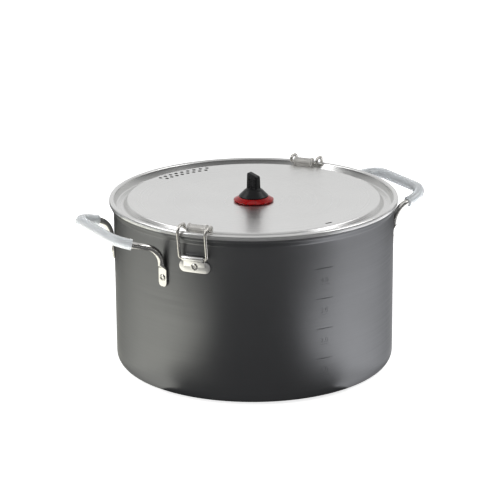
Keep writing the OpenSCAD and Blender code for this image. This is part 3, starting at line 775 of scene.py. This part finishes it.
# Extruded silicone: milky and faintly blue, clear enough to show the rod, with soft flow streaks
silicone, out = new_material("milky_silicone")
place = add_node(silicone, "ShaderNodeTexCoord").outputs["Object"]
streak_at = add_node(silicone, "ShaderNodeMapping", {"Scale": (60.0, 25.0, 260.0)}, Vector=place)
streak = add_node(silicone, "ShaderNodeTexNoise", {"Scale": 1.0, "Detail": 3.0}, Vector=streak_at.outputs[0])
tone = add_node(silicone, "ShaderNodeMix", {"data_type": "RGBA", "A": srgb("#EAEFF3"), "B": srgb("#F8FAFB")},
                Factor=streak.outputs["Fac"])
sheen = add_node(silicone, "ShaderNodeMapRange", {"To Min": 0.14, "To Max": 0.24},
                 Value=streak.outputs["Fac"])
swell = add_node(silicone, "ShaderNodeBump", {"Strength": 0.1, "Distance": 0.1 * MM},
                 Height=streak.outputs["Fac"])
rubber = add_node(silicone, "ShaderNodeBsdfPrincipled",
                  {"IOR": 1.41, "Transmission Weight": 0.5, "Specular IOR Level": 0.5},
                  Base_Color=tone.outputs["Result"], Roughness=sheen.outputs["Result"],
                  Normal=swell.outputs["Normal"])
silicone.node_tree.links.new(rubber.outputs[0], out.inputs["Surface"])
for piece, node in ((sleeve, "right_handle_sleeve"), (left_sleeve, "left_handle_sleeve")):
    wear(piece, silicone)
    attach(piece, "root")
    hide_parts(node)

# ---- rivets ----
# Tubular steel rivets with a low domed head and a drilled middle outside, turned over inside the pot.
# Two hold each handle by its tabs, and one holds each latch plate.
HEAD_R, SHANK_R = 2.8, 2.0
HANDLE_RIVET_Z = 99.0


def rivet(name, seat, z, turn):
    """One rivet through the wall, its head resting at radius seat."""
    tall = seat - POT_IN_R
    body = rounded([(0, -0.85), (HEAD_R - 0.1, -0.85, 0.35), (HEAD_R - 0.1, -0.1, 0.1),
                    (SHANK_R, -0.1, 0.05), (SHANK_R, tall, 0.05), (HEAD_R, tall, 0.08),
                    (HEAD_R, tall + 0.35, 0.25), (2.0, tall + 0.8, 0.3), (1.3, tall + 0.6, 0.2),
                    (1.15, tall - 1.8, 0.2), (0, tall - 1.9)], steps=4)
    piece = turned(name, body, around=40)
    piece.data.transform(Matrix.Rotation(math.pi / 2, 4, "Y"))
    return settled(piece, turn=turn, move=(POT_IN_R, 0, z))


def handle_pair(name, base):
    """The two rivets of the handle that stands at this turn."""
    seat = POT_R + 2 * TAB_HALF
    return joined(name, [rivet(name, seat, HANDLE_RIVET_Z, base + turn) for turn in (TAB_TURN, -TAB_TURN)])


LATCH_TURN = 36.5
PLATE_T = 1.0
KNUCKLE_R = 2.2
HINGE_R = POT_R + 0.5 + KNUCKLE_R
HINGE_Z = RIM_TOP - 20.8
PLATE_Z = HINGE_Z - KNUCKLE_R - 0.3 - 4.7
right_pair, left_pair = handle_pair("right_rivets", 0), handle_pair("left_rivets", 180)
back_rivet = rivet("back_rivet", POT_R + PLATE_T, PLATE_Z, LATCH_TURN)
front_rivet = rivet("front_rivet", POT_R + PLATE_T, PLATE_Z, LATCH_TURN + 180)
for piece, node in ((right_pair, "right_handle_rivets"), (left_pair, "left_handle_rivets"),
                    (back_rivet, "back_latch_rivet"), (front_rivet, "front_latch_rivet")):
    wear(piece, plated)
    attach(piece, "root")
    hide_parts(node)

# ---- latch plates ----
# Each latch hangs on a stamped steel plate, curved to the wall, whose upper leaf is rolled
# into a knuckle round the bail's wire.
PLATE_LEN, PLATE_H, KNUCKLE_LEN = 26.4, 9.4, 18.4
clear_selection()
bpy.ops.mesh.primitive_plane_add(size=1, rotation=(math.pi / 2, 0, math.pi / 2),
                                 location=((POT_R + 6) * MM, 0, PLATE_Z * MM))
plate = bpy.context.object
plate.name = plate.data.name = "back_plate"
plate.scale = (PLATE_LEN * MM, PLATE_H * MM, 1)
bpy.ops.object.transform_apply(location=True, rotation=True, scale=True)
bpy.ops.object.mode_set(mode="EDIT")
bpy.ops.mesh.select_all(action="SELECT")
bpy.ops.mesh.bevel(offset=4.65 * MM, segments=12, affect="VERTICES")
# Cut across every 1.1 mm, it bends smoothly round the wall
for i in range(-11, 12):
    bpy.ops.mesh.select_all(action="SELECT")
    bpy.ops.mesh.bisect(plane_co=(0, i * 1.1 * MM, 0), plane_no=(0, 1, 0))
bpy.ops.object.mode_set(mode="OBJECT")
for v in plate.data.vertices:
    v.co.x = math.sqrt((POT_R + 0.02) ** 2 * MM ** 2 - v.co.y ** 2)
finish_with(plate, "SOLIDIFY", thickness=(PLATE_T - 0.02) * MM, offset=1.0)
finish_with(plate, "BEVEL", width=0.22 * MM, segments=3, limit_method="ANGLE", angle_limit=math.radians(40))

# The leaf rises between the wall and the wire and is rolled outwards over it through 300 degrees
roll = 1.75
leaf_points = [(POT_R + 0.55, PLATE_Z), (POT_R + 0.6, HINGE_Z - 3), (HINGE_R - roll, HINGE_Z - 0.6)]
leaf_points += [(HINGE_R - roll * math.cos(a), HINGE_Z + roll * math.sin(a))
                for a in [math.radians(15 * i) for i in range(21)]]
leaf = drawn_line("leaf", [(x, -KNUCKLE_LEN / 2, z) for x, z in leaf_points])
bpy.ops.mesh.select_all(action="SELECT")
bpy.ops.mesh.extrude_region_move(TRANSFORM_OT_translate={"value": (0, KNUCKLE_LEN * MM, 0)})
bpy.ops.mesh.select_all(action="SELECT")
bpy.ops.mesh.normals_make_consistent(inside=False)
bpy.ops.object.mode_set(mode="OBJECT")
finish_with(leaf, "SOLIDIFY", thickness=0.84 * MM, offset=0.0)
finish_with(leaf, "BEVEL", width=0.15 * MM, segments=2, limit_method="ANGLE", angle_limit=math.radians(50))
plate = joined("back_plate", [plate, leaf])
bpy.ops.object.shade_smooth_by_angle(angle=math.radians(40))
front_plate = copied(plate, "front_plate", LATCH_TURN + 180)
settled(plate, turn=LATCH_TURN)

# Stamped stainless strip: bright, with the rolling mill's faint lengthwise lines about 0.4 mm apart
stamped, out = new_material("stamped_stainless_strip")
place = add_node(stamped, "ShaderNodeTexCoord").outputs["Object"]
mill_at = add_node(stamped, "ShaderNodeMapping", {"Scale": (60.0, 60.0, 2400.0)}, Vector=place)
mill = add_node(stamped, "ShaderNodeTexNoise", {"Scale": 1.0, "Detail": 4.0}, Vector=mill_at.outputs[0])
tone = add_node(stamped, "ShaderNodeMix", {"data_type": "RGBA", "A": srgb("#D9D8D6"), "B": srgb("#F0EFED")},
                Factor=mill.outputs["Fac"])
shine = add_node(stamped, "ShaderNodeMapRange", {"To Min": 0.22, "To Max": 0.42}, Value=mill.outputs["Fac"])
score = add_node(stamped, "ShaderNodeBump", {"Strength": 0.15, "Distance": 0.03 * MM},
                 Height=mill.outputs["Fac"])
metal = add_node(stamped, "ShaderNodeBsdfPrincipled", {"Metallic": 1.0}, Base_Color=tone.outputs["Result"],
                 Roughness=shine.outputs["Result"], Normal=score.outputs["Normal"])
stamped.node_tree.links.new(metal.outputs[0], out.inputs["Surface"])
for piece, node in ((plate, "back_latch_plate"), (front_plate, "front_latch_plate")):
    wear(piece, stamped)
    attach(piece, "root")
    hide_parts(node)

# ---- bails ----
# One length of spring wire runs through the knuckle, up both sides, over the rim and down into
# the roller, where its two ends meet.
WIRE_R = 1.25
LEG_Y = 11.7
BAR_R, BAR_Z = PANEL_R + 5, RIM_TOP + 0.1
BAR_BEND, DROP_BEND, ARCH_BEND, HINGE_BEND = 1.5, 2.125, 4.625, 1.9
ARCH_Z = BAR_Z + BAR_BEND + DROP_BEND + 0.5
ARCH_R = math.sqrt(RIM_R ** 2 - LEG_Y ** 2) + WIRE_R + 0.6 + 1.2
half_wire = [(BAR_R, 0.3, BAR_Z), (BAR_R, LEG_Y, BAR_Z), (BAR_R, LEG_Y, ARCH_Z), (ARCH_R, LEG_Y, ARCH_Z),
             (HINGE_R, LEG_Y, HINGE_Z)]
half_bends = [0, BAR_BEND, DROP_BEND, ARCH_BEND, HINGE_BEND]
bail = bent_wire("back_bail_wire", half_wire + [(x, -y, z) for x, y, z in reversed(half_wire)],
                 half_bends + half_bends[::-1], WIRE_R, around=20)
bpy.ops.mesh.select_all(action="SELECT")
bpy.ops.mesh.fill_holes(sides=0)
close_up(50)
front_bail = copied(bail, "front_bail_wire", LATCH_TURN + 180)
settled(bail, turn=LATCH_TURN)

# Drawn spring steel: bright and slightly warm, with die lines that run along it
drawn, out = new_material("drawn_spring_wire")
place = add_node(drawn, "ShaderNodeTexCoord").outputs["Object"]
die_at = add_node(drawn, "ShaderNodeMapping", {"Scale": (1600.0, 1600.0, 90.0)}, Vector=place)
die = add_node(drawn, "ShaderNodeTexNoise", {"Scale": 1.0, "Detail": 3.0}, Vector=die_at.outputs[0])
tone = add_node(drawn, "ShaderNodeMix", {"data_type": "RGBA", "A": srgb("#B9B6B0"), "B": srgb("#DCDAD6")},
                Factor=die.outputs["Fac"])
shine = add_node(drawn, "ShaderNodeMapRange", {"To Min": 0.16, "To Max": 0.34}, Value=die.outputs["Fac"])
metal = add_node(drawn, "ShaderNodeBsdfPrincipled", {"Metallic": 1.0}, Base_Color=tone.outputs["Result"],
                 Roughness=shine.outputs["Result"])
drawn.node_tree.links.new(metal.outputs[0], out.inputs["Surface"])
for piece, node, body in ((bail, "back_latch_bail", "back_bail"),
                          (front_bail, "front_latch_bail", "front_bail")):
    wear(piece, drawn)
    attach(piece, body)
    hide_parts(node)

# ---- rollers ----
# A clear silicone spool turns on each bail's bar and holds the lid down at its panel's edge.
# It has a flange at either end, and a slightly narrower waist between them.
BORE_R, WAIST_R, FLANGE_R, HALF_LEN = WIRE_R + 0.08, 4.15, 4.7, 8.1
spool_section = rounded(
    [(BORE_R, -HALF_LEN, 0.15), (FLANGE_R, -HALF_LEN, 0.5), (FLANGE_R, -7.0, 0.5), (WAIST_R, -5.6, 1.5),
     (WAIST_R, 5.6, 1.5), (FLANGE_R, 7.0, 0.5), (FLANGE_R, HALF_LEN, 0.5), (BORE_R, HALF_LEN, 0.15)], steps=5)
roller = turned("back_spool", spool_section + [Vector((BORE_R, 0.15 - HALF_LEN))], around=64)
settled(roller, lay=90, move=(BAR_R, 0, BAR_Z))
front_roller = copied(roller, "front_spool", LATCH_TURN + 180)
settled(roller, turn=LATCH_TURN)

# Moulded silicone: clearer and greyer than the sleeves, faintly warm, glossy from a polished mould
spool_clear, out = new_material("clear_moulded_silicone")
place = add_node(spool_clear, "ShaderNodeTexCoord").outputs["Object"]
cloud = add_node(spool_clear, "ShaderNodeTexNoise", {"Scale": 150.0, "Detail": 2.0}, Vector=place)
tone = add_node(spool_clear, "ShaderNodeMix",
                {"data_type": "RGBA", "A": srgb("#ECEAE6"), "B": srgb("#F8F6F3")},
                Factor=cloud.outputs["Fac"])
sheen = add_node(spool_clear, "ShaderNodeMapRange", {"To Min": 0.12, "To Max": 0.26},
                 Value=cloud.outputs["Fac"])
rubber = add_node(spool_clear, "ShaderNodeBsdfPrincipled", {"IOR": 1.41, "Transmission Weight": 0.6},
                  Base_Color=tone.outputs["Result"], Roughness=sheen.outputs["Result"])
spool_clear.node_tree.links.new(rubber.outputs[0], out.inputs["Surface"])
for piece, node, body in ((roller, "back_latch_roller", "back_roller"),
                          (front_roller, "front_latch_roller", "front_roller")):
    wear(piece, spool_clear)
    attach(piece, body)
    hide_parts(node)
